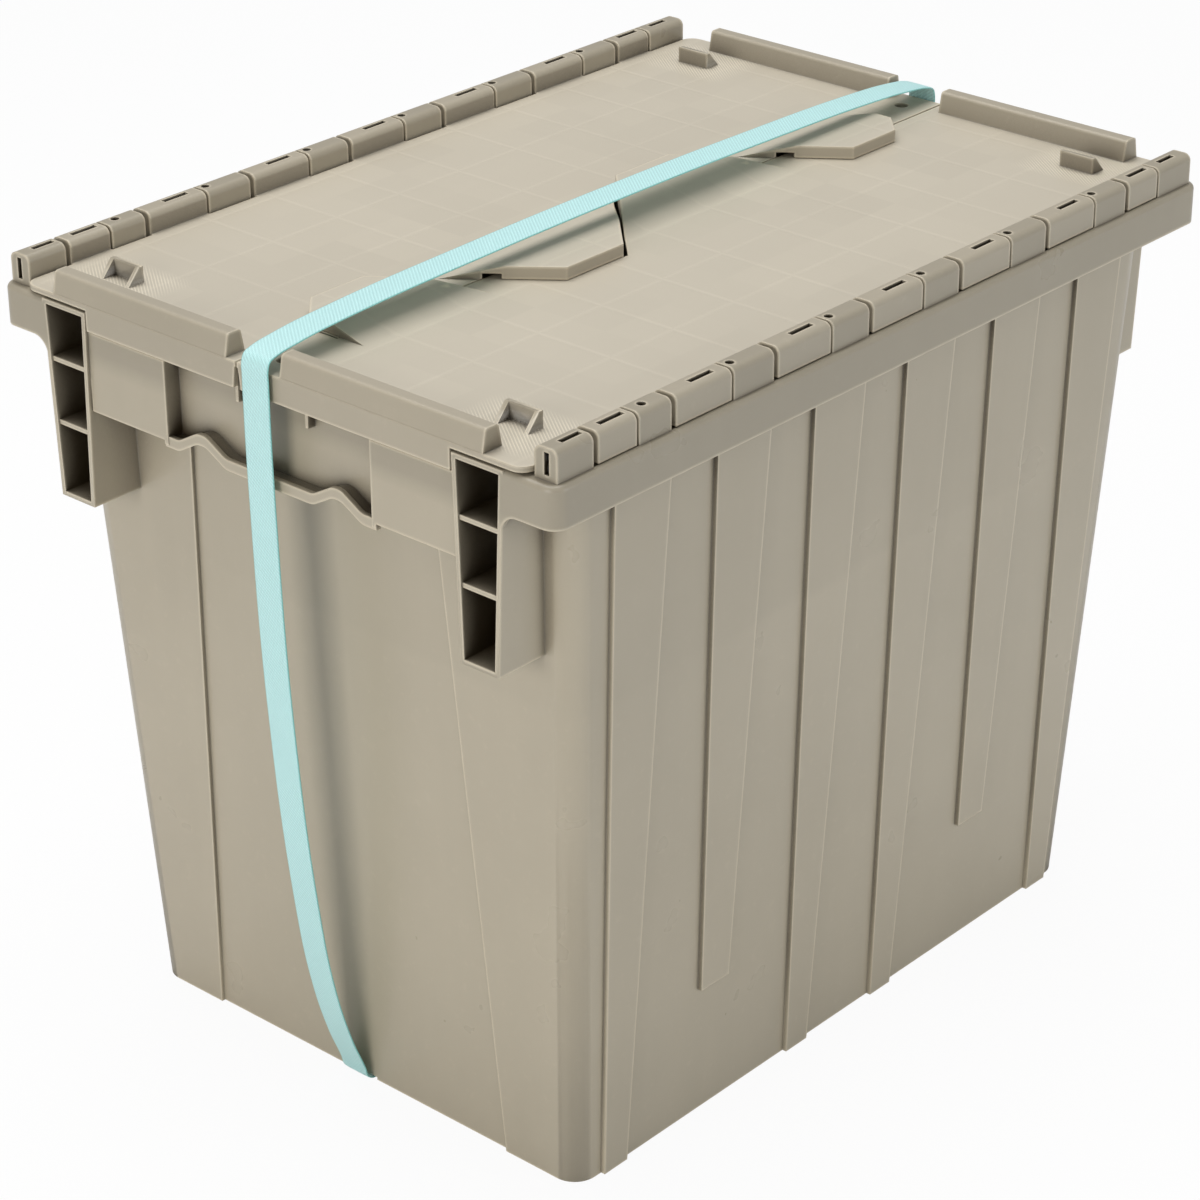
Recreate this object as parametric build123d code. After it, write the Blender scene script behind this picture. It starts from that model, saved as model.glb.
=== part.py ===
from build123d import *
import os

# Attached-lid container: one deep tapered tub, two lids that fold out to the long sides
# on steel rods, and a woven strap round the middle. Millimetres, +Z up, origin at the
# centre of the base. X runs along the length and the near end is at -X.

# Overall sizes
length = 532.0              # over the end faces of the rim
width = 389.0               # over the long skirts
rim_top = 431.2             # top of the rim flange, where the lids rest
half_l, half_w = length / 2, width / 2
base_length = length - 96.0
base_width = width - 68.0
end_draft = 0.0484          # how far an end wall leans out per mm of height
side_draft = 0.0464         # the same for a long wall
base_corner = 14.0
ridge_top = rim_top + 16.8  # top of the hinge ridges and end lips

# Wall thicknesses of the tub
wall = 3.0
floor_rise = 5.0            # the floor stands this far above the foot rim
floor_thick = 3.5
cell_count_x, cell_count_y = 6, 4         # pockets under the floor
flange_thick = 3.5
skirt_thick = 3.0
skirt_drop = 22.2           # from the rim top to the lower edge of the long skirts
rim_corner = 9.0
rim_round = 3.0             # the rim's outer top edge

# Outside of the tub
rib_count = 6
rib_pitch = (base_length - 56.0) / (rib_count - 1)
rib_places = [(i - (rib_count - 1) / 2) * rib_pitch for i in range(rib_count)]
short_ribs = [rib_places[1], rib_places[-2]]
rib_base_width = 18.0
rib_spread = 0.058          # growth of a rib's width per mm of height
rib_proud = 2.6
short_rib_foot = 80.0       # height where the short ribs end
panel_recess = 2.2
panel_base_half = base_width / 2 - 50.5   # half width of the end panel at the base
panel_top_half = panel_base_half - 22.0   # and at its upper end
panel_top = rim_top - 67.2

# Handle end: ladder supports, band, finger grip
ladder_in_top, ladder_out_top = half_w - 65.9, half_w - 33.1
ladder_in_foot, ladder_out_foot = ladder_in_top + 3.0, ladder_out_top - 4.6
ladder_foot = rim_top - 110.2
ladder_wall = 2.6
ladder_shelves = [rim_top - 69.7, rim_top - 34.2]
shelf_thick = 2.6
skirt_arch = 10.0           # radius where the skirt runs into a ladder
band_half_in = 75.0         # the band runs from here out to the ladders
band_set = 2.0              # how far the band lies behind the end face
band_top = rim_top - 11.0
band_bottom = band_top - 44.2
panel_thick = 2.6
apron_set = 12.0            # how far the grip panel lies behind the end face
step_set = 8.0              # how far the rim's riser lies behind the end face
grip_low = band_bottom + 1.0
grip_hump = 8.0             # height of the two finger humps
grip_hump_place = 48.0
grip_hump_foot, grip_hump_crest = 17.0, 3.0
grip_bend = 9.0             # radius of the bends of the wavy edge
grip_bead = 3.2             # thickness of the rounded grip edge
fin_place, fin_thick, fin_foot = 24.5, 2.0, band_top - 10.2

# Hinge ridges
ridge_out = half_w - 4.0
ridge_in = ridge_out - 14.0
hinge_y = ridge_out - 6.5
hinge_z = ridge_top - 6.5
ridge_end = half_l - 5.5
ridge_round = 4.0
rod_radius = 2.0
tub_bore = 2.1
lid_bore = 2.25
swing_radius = 12.0         # pocket in the rim in which a lid knuckle turns
slot_offsets = [44.0, 108.8, 185.3]   # of the lid knuckles from either end of the ridge
knuckle_slots = ([step - ridge_end for step in slot_offsets] + [0.0]
                 + [ridge_end - step for step in reversed(slot_offsets)])
knuckle_back, knuckle_front = 25.0, 16.0
end_knuckle_back, end_knuckle_front = 15.5, 11.5
gap_back, gap_front = 3.4, 1.6
slot_length, slot_width = 17.0, 3.2
end_slot_place = ridge_end - 16.0
hole_offset, hole_radius = 22.0, 2.4
bore_sides, round_sides = 8, 12   # flats of the rod bores, and of the pockets and holes
knuckle_wall = 2.5
web_thick = 3.0
keyhole_width, keyhole_foot = 3.0, hinge_z - 7.5

# Lids
lid_top = rim_top + 4.8
lid_thick = 3.0
lid_side = ridge_in - 1.5   # edge of the plate beside the hinge ridge
lid_end_round = 8.0
seam_gap = 1.2
end_seam = 16.5             # the seam steps sideways by this near the ends
end_seam_from = half_l - 53.0
lid_skirt_foot = lid_top - 14.4
lid_skirt_half = ladder_in_top - 1.0
lid_skirt_thick = 3.0
lip_out_set, lip_thick, lip_lean = 2.4, 8.6, 2.5
lip_near = (24.0, lid_side - 23.0)    # the lip of the far-left lid at the near end
lip_far = (14.0, lid_side - 26.0)     # and at the far end
lug_place_x, lug_place_y = half_l - 38.0, lid_side - 36.0
lug_width, lug_height, lug_wall, lug_reach = 22.0, 9.0, 2.6, 8.0
lid_rib_depth, lid_rib_thick, lid_rib_pitch = 5.0, 1.8, 47.5
seal_hole_radius, seal_hole_x, seal_hole_y = 4.0, half_l - 17.0, 0.0

# Interlocking tongues along the seam
tongue_rise = 7.5
tongue_tip = 35.5
tongue_root = 17.0
tongue_flat = 10.0          # the ramp levels out this far past the seam
tongue_wall = 2.5
tongue_lift = 0.5           # clearance over the other lid
mid_tongue_root, mid_tongue_near, mid_tongue_gap = -123.0, -81.0, 1.7
end_tongue_step = end_seam_from - 2.0
end_tongue_far, end_tongue_near = end_tongue_step - 15.0, end_tongue_step - 53.0
end_tongue_root = end_tongue_near - 39.5
wall_hole_place = 0.42      # how far along the slanted wall the mould hole lies
wall_hole_long, wall_hole_high = 11.0, 3.4

# Strap
strap_width = 19.0
strap_thick = 1.2
strap_lift = 0.15           # the strap hangs this far above the ground
strap_bend = 5.0
strap_foot_x = base_length / 2 + 6.0      # where the strap's outer face leaves the base
strap_side = [(half_l - 34.4, 28.0), (half_l - 23.4, 70.0), (half_l - 14.4, 122.0),
              (half_l - 2.9, 235.0), (half_l + 2.6, 360.0), (half_l + 3.2, hinge_z)]
strap_over = [(half_l - 12.0, ridge_top - 0.4), (half_l - 52.0, ridge_top + 2.6),
              (110.0, ridge_top + 5.6), (20.0, ridge_top + 6.6)]
strap_way_depth, strap_way_half = 1.7, 11.5

ends = (-1, 1)


def box(x0, x1, y0, y1, z0, z1):
    """A block between two corners, given in any order."""
    size = (abs(x1 - x0), abs(y1 - y0), abs(z1 - z0))
    return Pos((x0 + x1) / 2, (y0 + y1) / 2, (z0 + z1) / 2) * Box(*size)


def prism_x(points, x0, x1):
    """A YZ outline carried along X from x0 to x1."""
    outline = make_face(Polyline(*[(0, y, z) for y, z in points], close=True))
    return Pos(min(x0, x1), 0, 0) * extrude(outline, abs(x1 - x0), dir=(1, 0, 0))


def prism_y(points, y0, y1):
    """An XZ outline carried along Y from y0 to y1."""
    outline = make_face(Polyline(*[(x, 0, z) for x, z in points], close=True))
    return Pos(0, min(y0, y1), 0) * extrude(outline, abs(y1 - y0), dir=(0, 1, 0))


def prism_z(points, z0, z1):
    """An XY outline carried up from z0 to z1."""
    outline = make_face(Polyline(*[(x, y, 0) for x, y in points], close=True))
    return Pos(0, 0, min(z0, z1)) * extrude(outline, abs(z1 - z0), dir=(0, 0, 1))


def wall_length(z):
    return base_length + 2 * end_draft * z


def wall_width(z):
    return base_width + 2 * side_draft * z


def tapered(z0, z1, inset, corner):
    """The tub's tapered block between two heights, drawn in by inset."""
    faces = []
    for z in (z0, z1):
        rect = RectangleRounded(wall_length(z) - 2 * inset, wall_width(z) - 2 * inset, corner)
        faces.append(Pos(0, 0, z) * rect)
    return loft(faces, ruled=True)


def rib(side, place, foot, top, shrink, proud):
    """One raised rib of a long wall, wide above and narrow below."""
    depth = rib_proud + wall + 2
    front, profile, back = [], [], []
    for z in (foot, top):
        half = (rib_base_width + rib_spread * z) / 2 - shrink
        face_y = wall_width(z) / 2 + proud
        front += [(place - half, z), (place + half, z)]
        profile.append((side * face_y, z))
        back.insert(0, (side * (face_y - depth), z))
    front[2], front[3] = front[3], front[2]
    across = prism_y(front, side * base_width / 4, side * width / 2)
    return across & prism_x(profile + back, place - rib_base_width * 2, place + rib_base_width * 2)


def end_panel(end, inset):
    """The block that recesses the middle of an end wall by the panel recess."""
    low, high = -1.0, panel_top
    half_low, half_high = panel_base_half + inset, panel_top_half + inset
    reach = half_l * end
    front = prism_x([(-half_low, low), (half_low, low), (half_high, high), (-half_high, high)], 0, reach)
    faces = [(end * (wall_length(z) / 2 - inset - panel_recess), z) for z in (low, high)]
    return front & prism_y(faces + [(reach, high), (reach, low)], -half_w, half_w)


def tub_shell():
    """Walls and floor: the tapered block with its ribs, less the cavity that follows them."""
    ribs, grooves = [], []
    for side in ends:
        for place in rib_places:
            foot = short_rib_foot if place in short_ribs else 0.0
            groove_foot = max(foot + wall, floor_rise + floor_thick)
            ribs.append(rib(side, place, foot, rim_top - 4, 0, rib_proud))
            grooves.append(rib(side, place, groove_foot, rim_top - 8, wall, rib_proud - wall))
    outside = tapered(0, rim_top, 0, base_corner) + ribs
    cavity = tapered(floor_rise + floor_thick, rim_top + 5, wall, base_corner - wall) + grooves
    outside = outside - [end_panel(end, 0) for end in ends]
    cavity = cavity - [end_panel(end, wall) for end in ends]
    return outside - ([cavity] + base_cells())


def base_cells():
    """Pockets under the floor that leave a foot rim and a grid of ribs."""
    rib_thick, rim = 2.6, 11.0
    pitch_x = (base_length - 2 * rim + rib_thick) / cell_count_x
    pitch_y = (base_width - 2 * rim + rib_thick) / cell_count_y
    cells = []
    for i in range(cell_count_x):
        for j in range(cell_count_y):
            x = (i - (cell_count_x - 1) / 2) * pitch_x
            y = (j - (cell_count_y - 1) / 2) * pitch_y
            cells.append(Pos(x, y, (floor_rise - 1) / 2)
                         * Box(pitch_x - rib_thick, pitch_y - rib_thick, floor_rise + 1))
    return cells


def ladder_outline(grow):
    """YZ outline of a ladder support, drawn in by a wall when grow is negative."""
    top = rim_top + (grow if grow < 0 else 0)
    foot = ladder_foot - grow
    return [(ladder_in_top - grow, top), (ladder_out_top + grow, top),
            (ladder_out_foot + grow, foot), (ladder_in_foot - grow, foot)]


def ladder(end, side):
    """A ladder support: an open-fronted box with two shelves, from the end face to the wall."""
    wall_x = wall_length(ladder_foot) / 2 - 1
    solid = prism_x([(side * y, z) for y, z in ladder_outline(0)], end * wall_x, end * half_l)
    hollow = prism_x([(side * y, z) for y, z in ladder_outline(-ladder_wall)],
                     end * (wall_x - 1), end * (half_l + 1))
    for z in ladder_shelves:
        hollow -= box(end * wall_x, end * (half_l - 1.2), side * (ladder_in_top - 20), side * half_w, z, z + shelf_thick)
    return solid, hollow


def skirt_ring():
    """The rim flange with its hanging skirt, a rounded box open below."""
    outer = extrude(RectangleRounded(length, width, rim_corner), skirt_drop)
    outer = fillet(outer.edges().group_by(Axis.Z)[-1], rim_round)
    inner = extrude(RectangleRounded(length - 2 * skirt_thick, width - 2 * skirt_thick,
                                     rim_corner - skirt_thick), skirt_drop - flange_thick)
    return Pos(0, 0, rim_top - skirt_drop) * (outer - inner)


def arch_fill(end, side):
    """The fillet where the skirt's lower edge turns down into a ladder's outer wall."""
    y0 = ladder_out_top - 1.6
    z0 = rim_top - skirt_drop
    r = skirt_arch
    block = box(end * (half_l - skirt_thick), end * half_l, side * y0, side * (y0 + r), z0 - r, z0)
    hole = Rot(0, 90, 0) * Cylinder(r, 40)
    return block - Pos(end * half_l, side * (y0 + r), z0 - r) * hole


def grip_edge(shift):
    """The grip's wavy edge from one band to the other: two rounded finger humps."""
    run = [(-band_half_in, grip_low)]
    for place in (-grip_hump_place, grip_hump_place):
        run += [(place - grip_hump_foot, grip_low), (place - grip_hump_crest, grip_low + grip_hump),
                (place + grip_hump_crest, grip_low + grip_hump), (place + grip_hump_foot, grip_low)]
    run.append((band_half_in, grip_low))
    return FilletPolyline(*[(0, y, z + shift) for y, z in run], radius=grip_bend)


def wavy_strip(x0, x1, drop, thick):
    """A strip that follows the wavy edge, from drop below it up by thick."""
    low, high = grip_edge(-drop), grip_edge(thick - drop)
    joins = [Line(low @ t, high @ t) for t in (0, 1)]
    face = make_face([low, high] + joins)
    return Pos(min(x0, x1), 0, 0) * extrude(face, abs(x1 - x0), dir=(1, 0, 0))


def apron_face():
    """The grip panel's YZ face, wavy along its lower edge."""
    low = grip_edge(0)
    top_z = rim_top - 1
    left, right = low @ 0, low @ 1
    frame = Polyline(left, (0, left.Y, top_z), (0, right.Y, top_z), right)
    return make_face([low, frame])


def handle_end(end):
    """Band, riser, grip panel and fins of one end, and what they cut from the rim."""
    face = half_l
    riser_x = face - step_set
    band_x = face - band_set
    apron_x = face - apron_set
    cut = box(end * riser_x, end * (face + 1), -ladder_in_top, ladder_in_top, band_top - 30, rim_top + 1)
    add = box(end * (riser_x - panel_thick), end * riser_x, -ladder_in_top, ladder_in_top,
              band_top - flange_thick, rim_top)
    for side in ends:
        a, b = side * band_half_in, side * (ladder_in_top + 1)
        add += box(end * band_x, end * (band_x - panel_thick), a, b, band_bottom, band_top)
        add += box(end * band_x, end * (riser_x - panel_thick), a, b, band_top - panel_thick, band_top)
        add += box(end * band_x, end * (apron_x - panel_thick), a, a - side * panel_thick,
                   grip_low - grip_bead, band_top)
        fin_y = side * fin_place
        add += box(end * apron_x, end * (riser_x + 1), fin_y - fin_thick / 2, fin_y + fin_thick / 2,
                   fin_foot, rim_top - flange_thick)
    apron = extrude(apron_face(), panel_thick, dir=(1, 0, 0))
    shift = apron_x - panel_thick if end > 0 else -apron_x
    add += Pos(shift, 0, 0) * apron
    add += wavy_strip(end * (apron_x - panel_thick), end * (band_x - 0.5), grip_bead, grip_bead)
    add += wavy_strip(end * (band_x - 3.2), end * (band_x - 0.5), grip_bead + 1.4, grip_bead + 2.8)
    pocket = box(end * apron_x, end * (face + 1), -band_half_in, band_half_in, band_bottom + 14, rim_top + 1)
    return cut, pocket, add


def ridge_block(side, x0, x1, foot):
    """A length of hinge ridge with its two top edges rounded."""
    block = box(x0, x1, side * ridge_in, side * ridge_out, foot, ridge_top)
    top_edges = block.edges().filter_by(Axis.X).sort_by(Axis.Z)[-2:]
    return fillet(top_edges, ridge_round)


def rod_line(side, x0, x1, radius):
    """A cylinder along a hinge line."""
    shape = Rot(0, 90, 0) * Cylinder(radius, abs(x1 - x0))
    return Pos((x0 + x1) / 2, side * hinge_y, hinge_z) * shape


def bore_line(side, radius):
    """A many-sided bore for the rod along a whole hinge line, its flats at the radius."""
    shape = extrude(RegularPolygon(radius, bore_sides, major_radius=False), 2 * ridge_end)
    return Pos(-ridge_end, side * hinge_y, hinge_z) * Rot(0, 90, 0) * shape


def lid_spans():
    """Start and end of each lid knuckle along X."""
    spans = []
    last = len(knuckle_slots) - 1
    for i, place in enumerate(knuckle_slots):
        if i == 0:
            spans.append((place - end_knuckle_back, place + end_knuckle_front))
        elif i == last:
            spans.append((place - end_knuckle_back, place + end_knuckle_front))
        else:
            spans.append((place - knuckle_back, place + knuckle_front))
    return spans


def tub_spans():
    """Start and end of each tub knuckle: what the lid knuckles and their gaps leave."""
    spans = []
    start = -ridge_end
    for a, b in lid_spans():
        spans.append((start, a - gap_back))
        start = b + gap_front
    spans.append((start, ridge_end))
    return spans


def knuckle_core(side, x0, x1, foot, roof):
    """The hollow of a knuckle between its end webs."""
    return box(x0 + web_thick, x1 - web_thick, side * (ridge_in + knuckle_wall),
               side * (ridge_out - knuckle_wall), foot, roof)


def top_slot(side, place, along, across):
    """A slot through the roof of a knuckle."""
    return Pos(place, side * hinge_y, ridge_top) * Box(along, across, ridge_top - hinge_z)


def tub_ridge(side):
    """The tub's own knuckles along one long side, and the pockets the lid knuckles turn in."""
    add, cut = [], []
    for a, b in tub_spans():
        add.append(ridge_block(side, a, b, rim_top))
        cut.append(knuckle_core(side, a, b, rim_top - flange_thick - 1, ridge_top - knuckle_wall))
    for a, b in lid_spans():
        outline = RegularPolygon(swing_radius, round_sides, major_radius=False, rotation=180 / round_sides)
        swing = extrude(outline, b - a + gap_back + gap_front)
        cut.append(Pos(a - gap_back, side * hinge_y, hinge_z) * Rot(0, 90, 0) * swing)
    cut.append(bore_line(side, tub_bore) & box(-ridge_end + 2, ridge_end - 2, -width, width, 0, 2 * ridge_top))
    for end in ends:
        cut.append(top_slot(side, end * end_slot_place, 14, slot_width))
        cut.append(box(end * (ridge_end - 8), end * (ridge_end + 1),
                       side * (hinge_y - keyhole_width / 2), side * (hinge_y + keyhole_width / 2),
                       keyhole_foot, ridge_top - knuckle_wall))
    for place in knuckle_slots[:-1]:
        hole = extrude(RegularPolygon(hole_radius, round_sides), ridge_top - hinge_z)
        cut.append(Pos(place + hole_offset, side * hinge_y, hinge_z + 1) * hole)
    return add, cut


def make_tub():
    shell = tub_shell()
    opening = tapered(rim_top - 60, rim_top + 5, wall / 2, base_corner - wall / 2)
    rim = skirt_ring() - opening
    adds, cuts = [], []
    for end in ends:
        cut, pocket, add = handle_end(end)
        rim = rim - cut - pocket
        adds.append(add)
        for side in ends:
            solid, hollow = ladder(end, side)
            gap = box(end * (half_l - skirt_thick - 0.5), end * (half_l + 1), side * (ladder_in_top - 3),
                      side * (ladder_out_top - 1), ladder_foot - 21, rim_top - flange_thick - 1)
            rim -= gap
            adds.append(solid)
            adds.append(arch_fill(end, side))
            cuts.append(hollow)
    for side in ends:
        add, cut = tub_ridge(side)
        adds += add
        cuts += cut
    way = box(-half_l, half_l, -strap_way_half, strap_way_half, -1, strap_way_depth)
    return (shell + [rim] + adds) - (cuts + [way])


def seam_line():
    """XY points of the far-left lid's seam edge from the near end to the far end."""
    g = seam_gap / 2
    near_step = -(end_seam_from - seam_gap)
    return [(-half_l - 10, end_seam + g), (near_step, end_seam + g), (near_step, g),
            (end_seam_from, g), (end_seam_from, -end_seam + g), (half_l + 10, -end_seam + g)]


def tongue_profile(under):
    """YZ outline under a tongue's top surface: ramp and flat, lowered by under."""
    top = lid_top + tongue_rise - under
    root = lid_top - under
    return [(tongue_root, root), (-tongue_flat, top), (-tongue_tip - 5, top),
            (-tongue_tip - 5, band_bottom), (tongue_root, band_bottom)]


def mid_tongue(inset):
    """XY outline of the middle tongue, drawn in by inset on its free edges."""
    s = inset
    slope = 1.25 * s
    return [(mid_tongue_root + slope, tongue_root), (mid_tongue_near + slope * 0.6, -tongue_tip + s),
            (-tongue_tip - mid_tongue_gap - slope * 0.9, -tongue_tip + s),
            (tongue_root - mid_tongue_gap - slope * 1.15, tongue_root)]


def end_tongue(inset):
    """XY outline of the tongue near the far end, drawn in by inset on its free edges."""
    s = inset
    slope = 1.25 * s
    return [(end_tongue_root + slope, tongue_root), (end_tongue_near + slope * 0.6, -tongue_tip + s),
            (end_tongue_far - slope * 0.6, -tongue_tip + s), (end_tongue_step - s, -21),
            (end_tongue_step - s, tongue_root)]


def tongue(outline):
    """A raised tongue: ramp, flat top and turned-down edge, hollow below."""
    floor_z = lid_top + tongue_lift
    body = prism_z(outline(0), lid_top - lid_thick, ridge_top + 10)
    body = body & prism_x(tongue_profile(0), -half_l, half_l)
    trim = box(-half_l, half_l, -tongue_tip - 10, 0, band_bottom, floor_z)
    hollow = prism_z(outline(tongue_wall), band_bottom, ridge_top + 10)
    hollow = hollow & prism_x(tongue_profile(lid_thick), -half_l, half_l)
    return body - trim, hollow


def middle_slot():
    """The slanted slot between the two middle tongues, open through both lids."""
    near, far, gap = -tongue_tip, tongue_tip, mid_tongue_gap
    return prism_z([(near - gap, near), (near + gap, near), (far + gap, far), (far - gap, far)],
                   lid_skirt_foot, ridge_top + 10)


def wall_hole(root_x, near_x):
    """The small mould hole at the foot of a tongue's slanted wall."""
    run = Vector(near_x - root_x, -tongue_tip - tongue_root, 0)
    place = Vector(root_x, tongue_root, 0) + run * wall_hole_place
    turn = Rot(0, 0, Vector(1, 0, 0).get_signed_angle(run))
    return Pos(place.X, place.Y, lid_top + wall_hole_high / 2) * turn * Box(wall_hole_long, 10, wall_hole_high)


def lip(end, y0, y1):
    """The upstanding end lip that makes up the stacking rim, leaning on its inner side."""
    x = half_l - lip_out_set
    points = [(end * half_l, lid_top - 1), (end * x, ridge_top), (end * (x - lip_thick), ridge_top),
              (end * (x - lip_thick - lip_lean), lid_top - 1)]
    body = prism_y(points, y0, y1)
    edges = body.edges().filter_by(Axis.Y).sort_by(Axis.Z)[-2:]
    return fillet(edges, 2.0)


def lug(end, y):
    """A stacking lug: a wall across the end with two sloped cheeks towards the end face."""
    x0 = lug_place_x
    wall_part = box(end * (x0 - lug_wall), end * x0, y - lug_width / 2, y + lug_width / 2,
                    lid_top - 1, lid_top + lug_height)
    result = wall_part
    for side in ends:
        points = [(end * (x0 - 1), lid_top - 1), (end * (x0 - 1), lid_top + lug_height),
                  (end * x0, lid_top + lug_height), (end * (x0 + lug_reach), lid_top),
                  (end * (x0 + lug_reach), lid_top - 1)]
        outer = y + side * lug_width / 2
        result += prism_y(points, outer, outer - side * lug_wall)
    return result


def lid_ribs():
    """The rib grid under a lid plate."""
    z0, z1 = lid_top - lid_thick - lid_rib_depth, lid_top - lid_thick + 0.5
    y0, y1 = 24.0, lid_side - 8
    reach = end_seam_from - 3
    ribs = []
    count = int(reach // lid_rib_pitch)
    for i in range(-count, count + 1):
        x = i * lid_rib_pitch
        ribs.append(box(x - lid_rib_thick / 2, x + lid_rib_thick / 2, y0, y1, z0, z1))
    rows = 4
    for j in range(rows):
        y = y0 + (y1 - y0) * j / (rows - 1)
        ribs.append(box(-reach, reach, y - lid_rib_thick / 2, y + lid_rib_thick / 2, z0, z1))
    return ribs


def lid_knuckles(side):
    """The hooded knuckles of a lid on the hinge ridge, and what is cut from them."""
    add, cut = [], []
    foot = lid_top - lid_thick
    for a, b in lid_spans():
        block = ridge_block(side, a, b, rim_top + 0.7)
        block -= box(a - 1, b + 1, side * (ridge_in - 1), side * hinge_y, rim_top, foot)
        add.append(block)
        add.append(box(a, b, side * (lid_side - 1), side * (ridge_in + 1), foot, lid_top))
        cut.append(knuckle_core(side, a, b, rim_top - 2, ridge_top - knuckle_wall))
    for place in knuckle_slots:
        cut.append(top_slot(side, place, slot_length, slot_width))
    cut.append(bore_line(side, lid_bore))
    return add, cut


def make_lid(side):
    """A lid: plate, skirts, lips, lugs, ribs and tongues, alike on both sides but turned half
    round, and the knuckles, which are mirrored."""
    seam = seam_line()
    plate_z = lid_top - lid_thick
    outline = seam + [(half_l + 10, lid_side), (-half_l - 10, lid_side)]
    plate = prism_z(outline, plate_z, lid_top)
    frame = box(-half_l, half_l, -40, lid_side, plate_z, lid_top)
    frame = fillet(frame.edges().filter_by(Axis.Z).sort_by(Axis.Y)[-2:], lid_end_round)
    pieces = []
    for end in ends:
        free = (end_seam + seam_gap) if end < 0 else (-end_seam + seam_gap)
        sink = lid_top - lid_skirt_foot
        points = [(free, plate_z + 1), (lid_skirt_half, plate_z + 1), (lid_skirt_half, lid_skirt_foot),
                  (free + sink * 0.1, lid_skirt_foot)]
        pieces.append(prism_x(points, end * half_l, end * (half_l - lid_skirt_thick)))
        lip_range = lip_near if end < 0 else lip_far
        pieces += [lip(end, *lip_range), lug(end, lug_place_y)]
    pieces += lid_ribs()
    hollows = []
    for outline_of in (mid_tongue, end_tongue):
        body, hollow = tongue(outline_of)
        hollows.append(hollow)
        pieces.append(body)
    hollows += [middle_slot(), wall_hole(mid_tongue_root, mid_tongue_near),
                wall_hole(end_tongue_root, end_tongue_near)]
    hollows.append(Pos(seal_hole_x, seal_hole_y, lid_top) * Cylinder(seal_hole_radius, 30))
    lid = ((plate & frame) + pieces) - hollows
    if side < 0:
        lid = Rot(0, 0, 180) * lid
    add, cut = lid_knuckles(side)
    return (lid + add) - cut


def make_rod(side):
    """A steel hinge rod, cut square at its ends."""
    return rod_line(side, -ridge_end + 3, ridge_end - 3, rod_radius)


def make_strap():
    """The closed loop of webbing: under the base, up both ends and over the lids."""
    right = [(strap_foot_x, strap_lift)] + strap_side + strap_over
    points = right + [(-x, z) for x, z in reversed(right)]
    outer = FilletPolyline(*[(x, 0, z) for x, z in points], radius=strap_bend, close=True)
    face = make_face(outer)
    inner = offset(face, -strap_thick)
    return Pos(0, -strap_width / 2, 0) * extrude(face - inner, strap_width, dir=(0, 1, 0))


def main():
    os.makedirs("parts", exist_ok=True)
    parts = {
        "tub": make_tub(),
        "lid_left": make_lid(1),
        "lid_right": make_lid(-1),
        "hinge_rod_left": make_rod(1),
        "hinge_rod_right": make_rod(-1),
        "strap": make_strap(),
    }
    for name, shape in parts.items():
        export_step(shape, f"parts/{name}.step")
        print(name, len(shape.solids()), round(shape.volume), shape.bounding_box())


main()
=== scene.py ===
"""Attached-lid container: moulded tub, two interlocking lids, hinge rods and a woven strap."""

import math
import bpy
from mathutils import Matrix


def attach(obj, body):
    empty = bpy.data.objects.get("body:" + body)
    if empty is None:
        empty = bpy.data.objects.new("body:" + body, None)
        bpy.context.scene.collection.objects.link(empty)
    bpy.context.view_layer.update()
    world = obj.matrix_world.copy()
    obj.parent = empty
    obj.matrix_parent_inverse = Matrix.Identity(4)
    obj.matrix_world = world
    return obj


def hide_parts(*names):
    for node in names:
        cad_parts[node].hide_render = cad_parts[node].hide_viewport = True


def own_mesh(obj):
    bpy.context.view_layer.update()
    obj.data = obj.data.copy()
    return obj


bl_info = {
    "name": "Attached-lid container",
    "version": (1, 0, 0),
    "blender": (4, 5, 0),
    "location": "View3D > Sidebar > Container",
    "description": "Dresses the container's pieces and builds its strap and studio",
    "category": "Object",
}

import bmesh
import bpy
from bpy.props import FloatProperty, FloatVectorProperty, PointerProperty
from mathutils import Matrix, Vector

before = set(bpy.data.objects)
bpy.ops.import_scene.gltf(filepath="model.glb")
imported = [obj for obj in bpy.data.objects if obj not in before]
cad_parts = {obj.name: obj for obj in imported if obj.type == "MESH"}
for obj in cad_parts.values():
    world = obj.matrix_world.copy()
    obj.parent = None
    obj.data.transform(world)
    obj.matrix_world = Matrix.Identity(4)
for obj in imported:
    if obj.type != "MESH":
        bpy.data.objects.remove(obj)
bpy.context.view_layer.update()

LID_BODY = {"lid_left": "lid_left_body", "lid_right": "lid_right_body"}
HINGE_RODS = ("hinge_rod_left", "hinge_rod_right")

# Places on the mouldings, in metres
LID_TOP = 0.436
TONGUE_RISE = 0.0085        # the tongues' flats lie this far above the lid tops
RIDGE_Y = 0.1765            # inner face of the hinge ridges
LUG_X, LUG_Y = 0.233, 0.139
LUG_REACH_X, LUG_REACH_Y = 0.016, 0.020   # half the hatched patch round a lug
TONE_STEP_FOOT, TONE_STEP_TOP = 0.300, 0.306        # where the tub's tone steps darker, made stronger as painted shade on the upper wall
SKIRT_FOOT, SKIRT_TOP = 0.400, 0.410      # where the painted shade on the rim begins

# Fine marks in the plastic
SINK_LINE, SINK_SHIFT = 0.0022, 0.0235
HATCH_PITCH, HATCH_LINE = 0.0016, 0.00055
# Painted highlights: pale lines along the outer edges of the mouldings
EDGE_REACH = 2.4            # width of a pale edge, in edge roundings
EDGE_HIGHLIGHT = 0.62
RECESS_REACH = 0.05
PLASTIC_GLOSS = {"IOR": 1.49, "Specular IOR Level": 0.5}
SMOOTH_BELOW = math.radians(32)
SAME_PLANE = math.radians(0.5)

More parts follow.
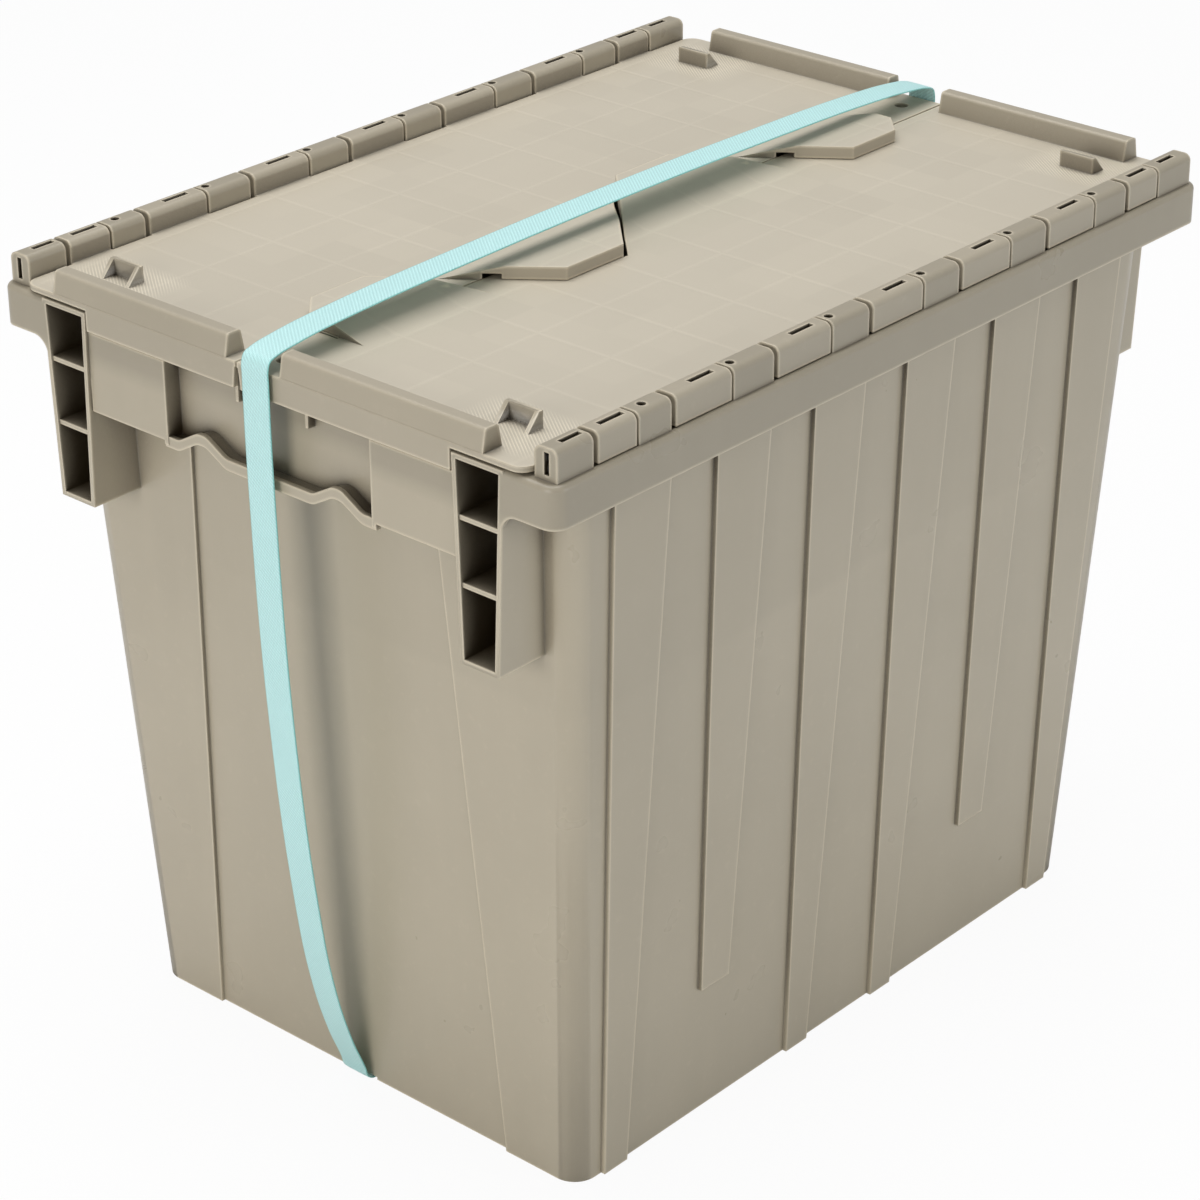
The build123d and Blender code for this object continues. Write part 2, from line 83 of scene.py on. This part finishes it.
# Studio: name, place, size, power and colour of each lamp
MIDDLE = (0.0, 0.0, 0.25)
LAMPS = (
    ("overhead", (0.1, 0.35, 2.7), 2.1, 51.0, (1.0, 1.0, 1.0)),
    ("end_side", (-2.7, -0.3, 0.9), 1.2, 27.0, (1.0, 0.985, 0.95)),
    ("long_side", (0.9, -2.7, 0.8), 1.2, 18.0, (0.95, 0.98, 1.0)),
)
FLOOR_HALF = 12.0
FLOOR_WHITE = 0.93          # how much of the floor's own white the camera sees
CAMERA_PLACE = (-1.3605, -1.1937, 1.1297)
CAMERA_TURN = (-48.377, 26.969, -0.273)   # azimuth, elevation and roll in degrees
CAMERA_LENS, CAMERA_SENSOR = 107.963, 36.0


class ContainerSizes(bpy.types.PropertyGroup):
    edge_round: FloatProperty(
        name="Edge rounding", description="Radius of the mouldings' softened edges",
        default=0.0007, min=0.0001, max=0.003, unit="LENGTH")
    sink_pitch: FloatProperty(
        name="Sink mark spacing",
        description="Distance between the marks that the lid ribs leave on top",
        default=0.0475, min=0.01, max=0.2, unit="LENGTH")
    strap_width: FloatProperty(
        name="Strap width", description="Width of the woven band",
        default=0.019, min=0.005, max=0.06, unit="LENGTH")
    strap_thick: FloatProperty(
        name="Strap thickness", description="Thickness of the woven band",
        default=0.0012, min=0.0004, max=0.004, unit="LENGTH")
    weave_pitch: FloatProperty(
        name="Weave pitch", description="Distance between neighbouring yarns of the band",
        default=0.0011, min=0.0003, max=0.005, unit="LENGTH")


class ContainerColours(bpy.types.PropertyGroup):
    tub: FloatVectorProperty(
        name="Tub", description="Colour of the tub's plastic",
        default=(0.435, 0.384, 0.293), min=0, max=1, subtype="COLOR")
    # Painted light: the flat tops get a lighter colour than the rest of the lid, for the light
    # that falls on them from above
    lit_lid_top: FloatVectorProperty(
        name="Lid tops", description="Colour of the flat tops, which light has paled",
        default=(0.570, 0.515, 0.415), min=0, max=1, subtype="COLOR")
    lid: FloatVectorProperty(
        name="Lids", description="Colour of the lids' plastic",
        default=(0.392, 0.346, 0.266), min=0, max=1, subtype="COLOR")
    strap: FloatVectorProperty(
        name="Strap", description="Colour of the band's yarn in the light",
        default=(0.57, 0.92, 0.915), min=0, max=1, subtype="COLOR")
    # Painted shade: this colour darkens the band's two edges, where the band turns away from the
    # light
    strap_edge_shade: FloatVectorProperty(
        name="Strap gaps", description="Colour between the band's yarns",
        default=(0.16, 0.52, 0.48), min=0, max=1, subtype="COLOR")
    steel: FloatVectorProperty(
        name="Rods", description="Colour of the steel rods",
        default=(0.42, 0.42, 0.41), min=0, max=1, subtype="COLOR")
    floor: FloatVectorProperty(
        name="Floor", description="Colour of the studio floor",
        default=(0.9, 0.9, 0.9), min=0, max=1, subtype="COLOR")


class Shader:
    """Adds and links the nodes of one material."""

    def __init__(self, name):
        self.material = bpy.data.materials.new(name)
        self.material.use_nodes = True
        self.tree = self.material.node_tree
        self.tree.nodes.clear()
        self.out = self.node("ShaderNodeOutputMaterial")

    def node(self, kind, **settings):
        made = self.tree.nodes.new(kind)
        for key, value in settings.items():
            setattr(made, key, value)
        return made

    def link(self, source, target):
        self.tree.links.new(source, target)

    def feed(self, value, socket):
        """Link a socket, or set a plain number or colour on the socket itself."""
        if isinstance(value, bpy.types.NodeSocket):
            self.link(value, socket)
        elif isinstance(value, (int, float)):
            socket.default_value = value
        else:
            socket.default_value = (*value[:3], 1.0)

    def place(self):
        return self.node("ShaderNodeTexCoord").outputs["Object"]

    def math(self, operation, a, b=0.0, clamp=False):
        made = self.node("ShaderNodeMath", operation=operation, use_clamp=clamp)
        for socket, value in zip(made.inputs, (a, b)):
            self.feed(value, socket)
        return made.outputs[0]

    def times(self, a, b):
        return self.math("MULTIPLY", a, b)

    def split(self, vector):
        made = self.node("ShaderNodeSeparateXYZ")
        self.link(vector, made.inputs[0])
        return made.outputs

    def noise(self, scale, detail=3.0, rough=0.5, vector=None):
        made = self.node("ShaderNodeTexNoise")
        made.inputs["Scale"].default_value = scale
        made.inputs["Detail"].default_value = detail
        made.inputs["Roughness"].default_value = rough
        self.link(vector or self.place(), made.inputs["Vector"])
        return made.outputs["Fac"]

    def spread(self, value, low, high, out_low, out_high):
        made = self.node("ShaderNodeMapRange", clamp=True)
        self.link(value, made.inputs["Value"])
        limits = {"From Min": low, "From Max": high, "To Min": out_low, "To Max": out_high}
        for key, number in limits.items():
            made.inputs[key].default_value = number
        return made.outputs["Result"]

    def mix(self, factor, a, b, blend="MIX"):
        made = self.node("ShaderNodeMix", data_type="RGBA", blend_type=blend)
        sockets = (made.inputs["Factor"], made.inputs[6], made.inputs[7])
        for socket, value in zip(sockets, (factor, a, b)):
            self.feed(value, socket)
        return made.outputs[2]

    def bump(self, height, distance, strength, normal=None):
        made = self.node("ShaderNodeBump")
        made.inputs["Distance"].default_value = distance
        made.inputs["Strength"].default_value = strength
        self.link(height, made.inputs["Height"])
        if normal is not None:
            self.link(normal, made.inputs["Normal"])
        return made.outputs["Normal"]

    def surface(self, colour, rough, normal=None, **fixed):
        made = self.node("ShaderNodeBsdfPrincipled")
        for value, key in ((colour, "Base Color"), (rough, "Roughness")):
            self.feed(value, made.inputs[key])
        if normal is not None:
            self.link(normal, made.inputs["Normal"])
        for key, value in fixed.items():
            made.inputs[key].default_value = value
        self.link(made.outputs[0], self.out.inputs["Surface"])
        return self.material


def shade(colour, factor):
    return tuple(min(1.0, channel * factor) for channel in colour[:3])


def rounded_normal(s, radius):
    """The surface's normal with its edges rounded by the radius."""
    rounded = s.node("ShaderNodeBevel", samples=6)
    rounded.inputs["Radius"].default_value = radius
    return rounded.outputs[0]


def painted_edge_highlights(s, tone, colour, radius, factor):
    """Painted highlights: the outer edges paled for the light that the thin moulding catches and
    lets through.
    """
    thin = s.node("ShaderNodeAmbientOcclusion", samples=8, inside=True, only_local=True)
    thin.inputs["Distance"].default_value = radius
    edge = s.spread(thin.outputs["AO"], 0.50, 0.96, factor, 0.0)
    return s.mix(edge, tone, shade(colour, 1.95))


def near(s, value, centre, half, soft):
    """1 where value lies within half of centre, falling to 0 over soft."""
    distance = s.math("ABSOLUTE", s.math("SUBTRACT", value, centre))
    return s.spread(distance, half, half + soft, 1.0, 0.0)


def grid_line(s, value, pitch, half, shift=0.0):
    """1 along lines a pitch apart."""
    turned = s.math("DIVIDE", s.math("ADD", value, shift), pitch)
    cell = s.math("SUBTRACT", s.math("FRACT", s.math("ADD", turned, 100.5)), 0.5)
    return s.spread(s.math("ABSOLUTE", cell), 0.0, half / pitch, 1.0, 0.0)


def faces_up(s):
    """1 on level faces that look up, 0 on walls."""
    normal = s.split(s.node("ShaderNodeTexCoord").outputs["Normal"])
    return s.spread(normal[2], 0.90, 0.97, 0.0, 1.0)


def shaded_recess(s, tone, colour):
    """Painted shade in the depths of pockets and seams, where little light gets in."""
    hidden = s.node("ShaderNodeAmbientOcclusion", samples=8, only_local=True)
    hidden.inputs["Distance"].default_value = RECESS_REACH
    depth = s.spread(hidden.outputs["AO"], 0.30, 0.70, 1.0, 0.0)
    off_floor = s.spread(s.split(s.place())[2], 0.010, 0.070, 0.15, 1.0)
    # Painted shade: the dark colour that the recesses take
    painted_recess_shade = (colour[0] * 0.075, colour[1] * 0.055, colour[2] * 0.03)
    return s.mix(s.times(depth, off_floor), tone, painted_recess_shade)


def plastic_base(s, colour):
    """Flow mottling, specks and the rounded normal that all the mouldings share."""
    cloud = s.noise(7.0, 4.0, 0.55)
    tone = s.mix(s.spread(cloud, 0.3, 0.7, 0.0, 1.0), shade(colour, 0.955), shade(colour, 1.04))
    speck = s.noise(160.0, 2.0, 0.6)
    tone = s.mix(s.spread(speck, 0.60, 0.74, 0.0, 0.14), tone, shade(colour, 1.25))
    return tone, rounded_normal(s, bpy.context.scene.container_sizes.edge_round * 2)


def plastic_finish(s, tone, colour, rough, normal):
    """Painted highlights on the edges and painted shade in the recesses over the tone, with the
    gloss of moulded plastic.
    """
    scene = bpy.context.scene
    reach = scene.container_sizes.edge_round * EDGE_REACH
    tone = painted_edge_highlights(s, tone, scene.container_colours.tub, reach, EDGE_HIGHLIGHT)
    return s.surface(shaded_recess(s, tone, colour), rough, normal, **PLASTIC_GLOSS)


def tub_plastic():
    """The tub's plastic: a change of tone, partly painted shade, drawn streaks and painted shade
    on the rim.
    """
    colours = bpy.context.scene.container_colours
    s = Shader("tub_plastic")
    tone, rounded = plastic_base(s, colours.tub)
    z = s.split(s.place())[2]
    flow = s.noise(3.0, 3.0, 0.5)
    height = s.math("ADD", z, s.times(flow, 0.03))
    # Darker above this line: a tone step made stronger as painted shade on the upper wall
    tone = s.mix(s.spread(height, TONE_STEP_FOOT, TONE_STEP_TOP, 0.0, 0.5), tone, shade(colours.tub, 0.94))
    streak = s.node("ShaderNodeMapping")
    streak.inputs["Scale"].default_value = (60.0, 60.0, 1.2)
    s.link(s.place(), streak.inputs["Vector"])
    lines = s.noise(1.0, 2.0, 0.5, streak.outputs[0])
    tone = s.mix(s.spread(lines, 0.4, 0.7, 0.0, 0.12), tone, shade(colours.tub, 1.12))
    # Painted shade: the upright rim darkened, where it catches less light than the leaning walls
    rim = s.mix(1.0, tone, (0.80, 0.80, 0.80), "MULTIPLY")
    tone = s.mix(s.spread(z, SKIRT_FOOT, SKIRT_TOP, 0.0, 1.0), tone, rim)
    rough = s.spread(s.noise(24.0, 3.0, 0.5), 0.3, 0.7, 0.27, 0.36)
    grain = s.bump(s.noise(1500.0, 2.0, 0.6), 0.00006, 0.35, rounded)
    wave = s.bump(s.noise(11.0, 2.0, 0.4), 0.0010, 0.25, grain)
    return plastic_finish(s, tone, colours.tub, rough, wave)


def lid_plastic():
    """The lids' plastic: tops painted lighter for the light from above, with sink marks and
    patches, and hatching at the lugs.
    """
    sizes, colours = bpy.context.scene.container_sizes, bpy.context.scene.container_colours
    s = Shader("lid_plastic")
    tone, rounded = plastic_base(s, colours.lid)
    x, y, z = s.split(s.place())
    inside = s.spread(s.math("ABSOLUTE", y), RIDGE_Y - 0.001, RIDGE_Y, 1.0, 0.0)
    level = near(s, z, LID_TOP + 0.0040, TONGUE_RISE - 0.0040, 0.0004)
    top = s.times(s.times(level, faces_up(s)), inside)
    # Painted light: the upward faces of the tops take the lighter top colour
    tone = s.mix(s.times(top, 0.92), tone, colours.lit_lid_top)
    lines = s.math("MAXIMUM", grid_line(s, x, sizes.sink_pitch, SINK_LINE),
                   grid_line(s, y, sizes.sink_pitch, SINK_LINE, SINK_SHIFT))
    lines = s.times(lines, top)
    tone = s.mix(s.times(lines, 0.30), tone, shade(colours.lit_lid_top, 1.15))
    cells = s.node("ShaderNodeTexWhiteNoise", noise_dimensions="2D")
    snapped = s.node("ShaderNodeCombineXYZ")
    for source, socket in ((x, "X"), (s.math("ADD", y, SINK_SHIFT), "Y")):
        cell = s.math("ADD", s.math("DIVIDE", source, sizes.sink_pitch), 0.5)
        s.link(s.math("FLOOR", cell), snapped.inputs[socket])
    s.link(snapped.outputs[0], cells.inputs["Vector"])
    patch = s.times(s.spread(cells.outputs["Value"], 0.0, 1.0, 0.0, 0.42), top)
    tone = s.mix(patch, tone, shade(colours.lit_lid_top, 0.86))
    lug_x = near(s, s.math("ABSOLUTE", x), LUG_X, LUG_REACH_X, 0.010)
    lug_y = near(s, s.math("ABSOLUTE", y), LUG_Y, LUG_REACH_Y, 0.014)
    plate = s.times(near(s, z, LID_TOP, 0.0006, 0.0003), top)
    hatch_zone = s.times(s.times(lug_x, lug_y), plate)
    slant = s.math("ADD", s.times(x, 0.80), s.times(y, -0.60))
    hatch = s.times(grid_line(s, slant, HATCH_PITCH, HATCH_LINE), hatch_zone)
    tone = s.mix(s.times(hatch, 0.75), tone, shade(colours.lit_lid_top, 1.5))
    rough = s.spread(s.noise(9.0, 3.0, 0.5), 0.3, 0.7, 0.31, 0.42)
    grain = s.bump(s.noise(1500.0, 2.0, 0.6), 0.00006, 0.35, rounded)
    sink = s.bump(s.math("SUBTRACT", 1.0, lines), 0.0004, 0.35, grain)
    ridges = s.bump(hatch, 0.0003, 0.6, sink)
    return plastic_finish(s, tone, colours.lid, rough, ridges)


def rod_steel():
    """Drawn steel with fine lines along the rod."""
    steel = bpy.context.scene.container_colours.steel
    s = Shader("rod_steel")
    drawn = s.node("ShaderNodeMapping")
    drawn.inputs["Scale"].default_value = (4.0, 900.0, 900.0)
    s.link(s.place(), drawn.inputs["Vector"])
    lines = s.noise(1.0, 3.0, 0.6, drawn.outputs[0])
    tone = s.mix(s.spread(lines, 0.35, 0.7, 0.0, 1.0), shade(steel, 0.8), shade(steel, 1.15))
    rough = s.spread(lines, 0.3, 0.7, 0.26, 0.42)
    return s.surface(tone, rough, s.bump(lines, 0.00005, 0.4), Metallic=1.0)


def strap_weave():
    """Twill yarns on the strap's own map: u across and v along, both in metres."""
    sizes, colours = bpy.context.scene.container_sizes, bpy.context.scene.container_colours
    s = Shader("strap_weave")
    across, along, _ = s.split(s.node("ShaderNodeTexCoord").outputs["UV"])
    pitch = sizes.weave_pitch
    warp = grid_line(s, across, pitch, pitch * 0.5)
    twill = grid_line(s, s.math("ADD", along, s.times(across, 0.8)), pitch * 2.0, pitch)
    yarn = s.times(s.math("ADD", warp, 0.9), s.math("ADD", twill, 0.7))
    fuzz = s.noise(260.0, 2.0, 0.6)
    tone = s.mix(s.spread(yarn, 0.63, 2.9, 0.0, 1.0),
                 shade(colours.strap, 0.74), shade(colours.strap, 1.12))
    tone = s.mix(s.spread(fuzz, 0.4, 0.7, 0.0, 0.2), tone, shade(colours.strap, 0.88))
    width = sizes.strap_width
    # Painted shade: the band's edges darkened, where the band turns away from the light
    edge = s.spread(s.math("ABSOLUTE", across), width * 0.455, width * 0.49, 0.0, 0.75)
    tone = s.mix(edge, tone, colours.strap_edge_shade)
    normal = s.bump(yarn, 0.00020, 0.8)
    return s.surface(tone, 0.38, normal, **{"Sheen Weight": 0.15, "Sheen Roughness": 0.4,
                                            "Specular IOR Level": 0.5})


def new_object(name, mesh):
    made = bpy.data.objects.new(name, mesh)
    bpy.context.scene.collection.objects.link(made)
    return made


def moulded(node, name, material, body):
    """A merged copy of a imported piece, its curves shaded smooth and its edges kept sharp."""
    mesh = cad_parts[node].data.copy()
    bm = bmesh.new()
    bm.from_mesh(mesh)
    bmesh.ops.remove_doubles(bm, verts=bm.verts, dist=1e-6)
    bmesh.ops.dissolve_limit(bm, angle_limit=SAME_PLANE, verts=bm.verts, edges=bm.edges)
    bm.to_mesh(mesh)
    bm.free()
    mesh.materials.clear()
    mesh.materials.append(material)
    mesh.shade_smooth()
    mesh.set_sharp_from_angle(angle=SMOOTH_BELOW)
    piece = new_object(name, mesh)
    weighted = piece.modifiers.new("even_normals", "WEIGHTED_NORMAL")
    weighted.keep_sharp = True
    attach(piece, body)
    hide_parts(node)
    return piece


# X and Z of the strap's middle line, from under the base up one end and over the lids
STRAP_RIGHT = (
    (0.120, 0.00075), (0.200, 0.00075), (0.2160, 0.0009), (0.2200, 0.0036), (0.2222, 0.0100),
    (0.2310, 0.032), (0.2420, 0.070), (0.2510, 0.122), (0.2625, 0.235), (0.2680, 0.360),
    (0.2687, 0.432), (0.2684, 0.4400), (0.2668, 0.4432), (0.2630, 0.4448), (0.2480, 0.4473),
    (0.2140, 0.4500), (0.1100, 0.4530),
)
STRAP_CROWN = (0.0, 0.4540)
STRAP_LIFT = 0.0002         # the band never comes nearer to the ground than this
STRAP_STEPS = 14            # places on the curve between two points
SECTION_SIDES = 20
SECTION_FLAT, SECTION_ROUND = 0.35, 0.6   # how square the band's section is, across and up


def strap_path():
    """Places round the strap's loop, read from a smooth closed curve."""
    points = list(STRAP_RIGHT) + [STRAP_CROWN] + [(-x, z) for x, z in reversed(STRAP_RIGHT)]
    curve = bpy.data.curves.new("strap_line", "CURVE")
    curve.dimensions = "3D"
    curve.resolution_u = STRAP_STEPS
    spline = curve.splines.new("BEZIER")
    spline.bezier_points.add(len(points) - 1)
    for knot, (x, z) in zip(spline.bezier_points, points):
        knot.co = (x, 0.0, z)
        knot.handle_left_type = knot.handle_right_type = "AUTO"
    spline.use_cyclic_u = True
    holder = new_object("strap_line", curve)
    bpy.context.view_layer.update()
    evaluated = holder.evaluated_get(bpy.context.evaluated_depsgraph_get())
    line = bpy.data.meshes.new_from_object(evaluated)
    places = [vertex.co.copy() for vertex in line.vertices]
    bpy.data.objects.remove(holder)
    bpy.data.curves.remove(curve)
    bpy.data.meshes.remove(line)
    return places


def squared(value, power):
    """A place on a circle pushed outwards, for a flatter section."""
    return math.copysign(min(1.0, abs(value) ** power), value)


def strap_band(name, width, thick):
    """The band: one rounded section carried round the loop and joined to its start."""
    lowest = thick / 2 + STRAP_LIFT
    places = [Vector((place.x, 0.0, max(place.z, lowest))) for place in strap_path()]
    count = len(places)
    along = [0.0]
    for i in range(count):
        along.append(along[-1] + (places[(i + 1) % count] - places[i]).length)
    bm = bmesh.new()
    ring = bmesh.ops.create_circle(bm, segments=SECTION_SIDES, radius=1.0)["verts"]
    edges = list(dict.fromkeys(edge for vert in ring for edge in vert.link_edges))
    section = [(squared(vert.co.x, SECTION_FLAT) * width / 2,
                squared(vert.co.y, SECTION_ROUND) * thick / 2) for vert in ring]
    uv = bm.loops.layers.uv.new("weave")
    step_of = {}
    rings = []
    for i in range(count):
        if i:
            grown = bmesh.ops.extrude_edge_only(bm, edges=edges)["geom"]
            edges = [part for part in grown if isinstance(part, bmesh.types.BMEdge)]
            partner = {}
            for vert in (part for part in grown if isinstance(part, bmesh.types.BMVert)):
                for link in vert.link_edges:
                    other = link.other_vert(vert)
                    if other in step_of and step_of[other][0] == i - 1:
                        partner[vert] = step_of[other][1]
            edges = [edge for edge in edges if all(vert in partner for vert in edge.verts)]
            ring = sorted(partner, key=partner.get)
        ahead = (places[(i + 1) % count] - places[i - 1]).normalized()
        out = Vector((ahead.z, 0.0, -ahead.x))
        for index, vert in enumerate(ring):
            side, rise = section[index]
            vert.co = places[i] + Vector((0.0, side, 0.0)) + out * rise
            step_of[vert] = (i, index)
        rings.append(ring)
    for a in range(SECTION_SIDES):
        b = (a + 1) % SECTION_SIDES
        bm.faces.new((rings[-1][a], rings[-1][b], rings[0][b], rings[0][a]))
    bmesh.ops.recalc_face_normals(bm, faces=bm.faces)
    for face in bm.faces:
        face.smooth = True
        closing = max(step_of[loop.vert][0] for loop in face.loops) == count - 1
        for loop in face.loops:
            step, index = step_of[loop.vert]
            if step == 0 and closing:
                step = count
            loop[uv].uv = (section[index][0], along[step])
    mesh = bpy.data.meshes.new(name)
    bm.to_mesh(mesh)
    bm.free()
    return new_object(name, mesh), along[-1]


class CONTAINER_OT_tub(bpy.types.Operator):
    """Give the tub its moulded plastic"""
    bl_idname = "container.tub"
    bl_label = "Tub"

    def execute(self, context):
        moulded("tub", "tub_moulding", tub_plastic(), "tub_body")
        return {"FINISHED"}


class CONTAINER_OT_lids(bpy.types.Operator):
    """Give the two lids their moulded plastic"""
    bl_idname = "container.lids"
    bl_label = "Lids"

    def execute(self, context):
        plastic = lid_plastic()
        for node, body in LID_BODY.items():
            moulded(node, node + "_moulding", plastic, body)
        return {"FINISHED"}


class CONTAINER_OT_rods(bpy.types.Operator):
    """Give the hinge rods their drawn steel"""
    bl_idname = "container.rods"
    bl_label = "Hinge rods"

    def execute(self, context):
        steel = rod_steel()
        for node in HINGE_RODS:
            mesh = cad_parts[node].data
            mesh.materials.clear()
            mesh.materials.append(steel)
        return {"FINISHED"}


class CONTAINER_OT_strap(bpy.types.Operator):
    """Build the woven strap round the middle"""
    bl_idname = "container.strap"
    bl_label = "Strap"

    def execute(self, context):
        sizes = context.scene.container_sizes
        band, length = strap_band("strap_band", sizes.strap_width, sizes.strap_thick)
        band.data.materials.append(strap_weave())
        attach(band, "tub_body")
        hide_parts("strap")
        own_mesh(band)
        return {"FINISHED"}


def studio_floor(colour):
    """White to the camera, with the object's shadow kept."""
    s = Shader("studio_floor")
    diffuse = s.node("ShaderNodeBsdfDiffuse")
    diffuse.inputs["Color"].default_value = (*colour[:3], 1.0)
    glow = s.node("ShaderNodeEmission")
    glow.inputs["Color"].default_value = (1.0, 1.0, 1.0, 1.0)
    rays = s.node("ShaderNodeLightPath")
    blend = s.node("ShaderNodeMixShader")
    s.link(s.times(rays.outputs["Is Camera Ray"], FLOOR_WHITE), blend.inputs[0])
    s.link(diffuse.outputs[0], blend.inputs[1])
    s.link(glow.outputs[0], blend.inputs[2])
    s.link(blend.outputs[0], s.out.inputs["Surface"])
    return s.material


def studio_world(context):
    """White to the camera, and a dim even light on the object."""
    world = context.scene.world or bpy.data.worlds.new("studio")
    context.scene.world = world
    world.use_nodes = True
    tree = world.node_tree
    tree.nodes.clear()
    out = tree.nodes.new("ShaderNodeOutputWorld")
    rays = tree.nodes.new("ShaderNodeLightPath")
    seen = tree.nodes.new("ShaderNodeBackground")
    seen.inputs["Strength"].default_value = 1.0
    lit = tree.nodes.new("ShaderNodeBackground")
    lit.inputs["Strength"].default_value = 0.33
    lit.inputs["Color"].default_value = (0.97, 0.985, 1.0, 1.0)
    blend = tree.nodes.new("ShaderNodeMixShader")
    tree.links.new(rays.outputs["Is Camera Ray"], blend.inputs[0])
    tree.links.new(lit.outputs[0], blend.inputs[1])
    tree.links.new(seen.outputs[0], blend.inputs[2])
    tree.links.new(blend.outputs[0], out.inputs["Surface"])


def soft_light(name, place, size, power, colour):
    """A square lamp that looks at the middle of the container."""
    data = bpy.data.lights.new(name, "AREA")
    data.shape = "SQUARE"
    data.size = size
    data.energy = power
    data.color = colour
    light = new_object(name, data)
    light.location = place
    light.rotation_euler = (Vector(MIDDLE) - Vector(place)).to_track_quat("-Z", "Y").to_euler()


def photo_camera(context):
    """A camera where the picture was taken from."""
    azimuth, elevation, roll = (math.radians(angle) for angle in CAMERA_TURN)
    back = Vector((math.sin(azimuth) * math.cos(elevation),
                   -math.cos(azimuth) * math.cos(elevation), math.sin(elevation)))
    right = Vector((0, 0, 1)).cross(back).normalized()
    up = back.cross(right)
    right_rolled = right * math.cos(roll) + up * math.sin(roll)
    up_rolled = up * math.cos(roll) - right * math.sin(roll)
    data = bpy.data.cameras.new("photo_camera")
    data.lens = CAMERA_LENS
    data.sensor_width = CAMERA_SENSOR
    data.clip_end = 30.0
    camera = new_object("photo_camera", data)
    turn = Matrix((right_rolled, up_rolled, back)).transposed().to_4x4()
    camera.matrix_world = Matrix.Translation(CAMERA_PLACE) @ turn
    context.scene.camera = camera


class CONTAINER_OT_studio(bpy.types.Operator):
    """Lay the floor, set the lights and place the camera"""
    bl_idname = "container.studio"
    bl_label = "Studio"

    def execute(self, context):
        bm = bmesh.new()
        bmesh.ops.create_grid(bm, x_segments=1, y_segments=1, size=FLOOR_HALF)
        mesh = bpy.data.meshes.new("studio_floor")
        bm.to_mesh(mesh)
        bm.free()
        mesh.materials.append(studio_floor(context.scene.container_colours.floor))
        floor = new_object("studio_floor", mesh)
        studio_world(context)
        for lamp in LAMPS:
            soft_light(*lamp)
        photo_camera(context)
        context.scene.view_settings.view_transform = "Standard"
        return {"FINISHED"}


class CONTAINER_PT_pieces(bpy.types.Panel):
    """Sizes, colours and the build steps"""
    bl_idname = "CONTAINER_PT_pieces"
    bl_label = "Container"
    bl_space_type = "VIEW_3D"
    bl_region_type = "UI"
    bl_category = "Container"

    def draw(self, context):
        for group in (context.scene.container_sizes, context.scene.container_colours):
            box = self.layout.box()
            for name in group.__annotations__:
                box.prop(group, name)
        for step in STEPS:
            self.layout.operator(step.bl_idname)


STEPS = (CONTAINER_OT_tub, CONTAINER_OT_lids, CONTAINER_OT_rods, CONTAINER_OT_strap,
         CONTAINER_OT_studio)
CLASSES = (ContainerSizes, ContainerColours) + STEPS + (CONTAINER_PT_pieces,)


def register():
    for cls in CLASSES:
        bpy.utils.register_class(cls)
    bpy.types.Scene.container_sizes = PointerProperty(type=ContainerSizes)
    bpy.types.Scene.container_colours = PointerProperty(type=ContainerColours)


def unregister():
    del bpy.types.Scene.container_sizes
    del bpy.types.Scene.container_colours
    for cls in reversed(CLASSES):
        bpy.utils.unregister_class(cls)


def main():
    register()
    bpy.ops.container.tub()
    bpy.ops.container.lids()
    bpy.ops.container.rods()
    bpy.ops.container.strap()
    bpy.ops.container.studio()


if __name__ == "__main__":
    main()
